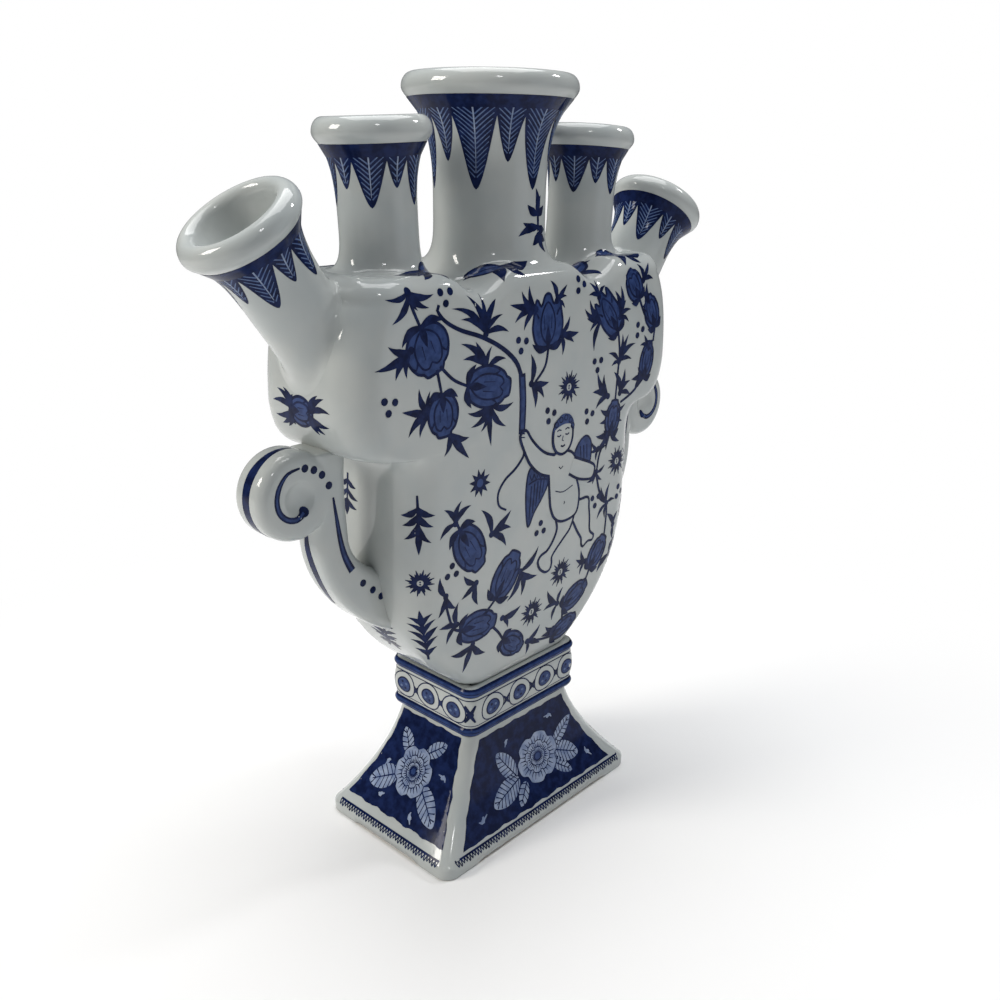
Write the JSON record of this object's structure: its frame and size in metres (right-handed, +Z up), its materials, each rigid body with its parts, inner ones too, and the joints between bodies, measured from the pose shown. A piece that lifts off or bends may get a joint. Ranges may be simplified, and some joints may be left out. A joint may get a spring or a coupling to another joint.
{
  "type": "tulip vase",
  "caption": "Heart-shaped porcelain flower vase with a fan of flared spouts, scroll handles at the sides, a moulded collar and a flared hollow foot.",
  "frame": {"origin": "on the table, under the middle of the pedestal foot", "axes": "+Z up, +X along the row of spouts, the painted front faces -Y"},
  "size_m": [0.212, 0.0616, 0.25],
  "materials": {
    "glazed_porcelain": "clear gloss glaze over a cool white body, with cobalt blue painting under the glaze",
    "glazed_foot": "clear gloss glaze over dark cobalt panels with white borders, bare clay where it stands"
  },
  "bodies": {
    "root": {"pedestal_foot": "glazed_foot", "waist_collar": "glazed_porcelain", "body_front_half": "glazed_porcelain", "body_back_half": "glazed_porcelain", "centre_spout": "glazed_porcelain", "inner_left_spout": "glazed_porcelain", "outer_left_spout": "glazed_porcelain", "inner_right_spout": "glazed_porcelain", "outer_right_spout": "glazed_porcelain", "right_scroll_handle": "glazed_porcelain", "left_scroll_handle": "glazed_porcelain"}
  },
  "joints": []
}
